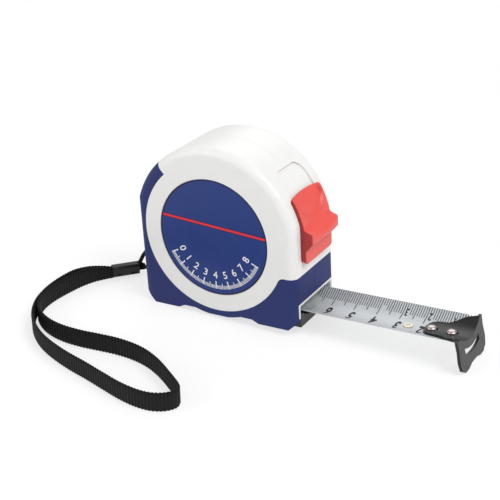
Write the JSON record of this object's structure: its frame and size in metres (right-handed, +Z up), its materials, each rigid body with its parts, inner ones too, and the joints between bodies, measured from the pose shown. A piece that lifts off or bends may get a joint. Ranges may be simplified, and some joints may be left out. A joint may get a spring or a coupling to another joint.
{
  "type": "tape measure",
  "caption": "Retractable pocket tape measure with a rounded case, soft grips, thumb lock, curved steel blade, sliding end hook and wrist strap.",
  "frame": {"origin": "on the base plane, midway between the two sides and under the centre of the label", "axes": "+X along the blade, out of the mouth; +Y across the case, towards the belt clip side; +Z up"},
  "size_m": [0.1769, 0.1129, 0.0788],
  "materials": {
    "white_shell": "satin moulded ABS",
    "blue_grip": "matte soft-touch overmould",
    "blue_label": "printed film",
    "red_plastic": "satin moulded",
    "black_plastic": "moulded acetal",
    "black_rubber": "matte",
    "pale_plastic": "low-friction sheet",
    "blade_steel": "clear coated spring steel",
    "black_steel": "black oxide",
    "bright_steel": "plated",
    "spring_steel": "blued",
    "black_webbing": "ribbed nylon webbing",
    "black_cord": "braided nylon cord"
  },
  "bodies": {
    "case": {"left_shell": "white_shell", "right_shell": "white_shell", "left_grip": "blue_grip", "right_grip": "blue_grip", "left_label": "blue_label", "right_label": "blue_label", "mouth_lip": "black_plastic", "arbor": "pale_plastic", "left_liner": "pale_plastic", "right_liner": "pale_plastic", "blade_lead": "blade_steel", "case_screws": "bright_steel", "belt_clip": "bright_steel", "clip_screw": "bright_steel", "lanyard_pin": "bright_steel", "lanyard_loop": "black_cord", "lanyard_knot": "black_cord", "strap_clip": "black_plastic", "strap_webbing": "black_webbing"},
    "drum": {"spool": "black_plastic", "spool_cap": "black_plastic", "blade_coil": "blade_steel", "mainspring": "spring_steel"},
    "blade": {"blade": "blade_steel", "blade_eyelet": "bright_steel", "hook_rivets": "bright_steel"},
    "hook": {"hook": "black_steel"},
    "lock": {"lock_button": "red_plastic", "lock_slider": "black_plastic", "brake_pad": "black_rubber"}
  },
  "joints": [
    {"name": "blade_slide", "type": "slide", "parent": "case", "child": "blade", "axis": [1, 0, 0], "range_m": [-0.0633, 0.1], "stiffness_N_per_m": 2, "springref_m": -3, "deforming": ["blade_lead"]},
    {"name": "drum_spin", "type": "hinge", "parent": "case", "child": "drum", "pos_m": [0, 0, 0.0348], "axis": [0, 1, 0], "range_deg": [-223, 142], "deforming": ["mainspring"]},
    {"name": "hook_play", "type": "slide", "parent": "blade", "child": "hook", "axis": [1, 0, 0], "range_m": [-0.0012, 0]},
    {"name": "lock_travel", "type": "hinge", "parent": "case", "child": "lock", "pos_m": [0, 0, 0.0348], "axis": [0, -1, 0], "range_deg": [0, 12]}
  ],
  "couplings": [
    {"joint": "drum_spin", "follows": "blade_slide", "rad_per_m": -38.76}
  ]
}
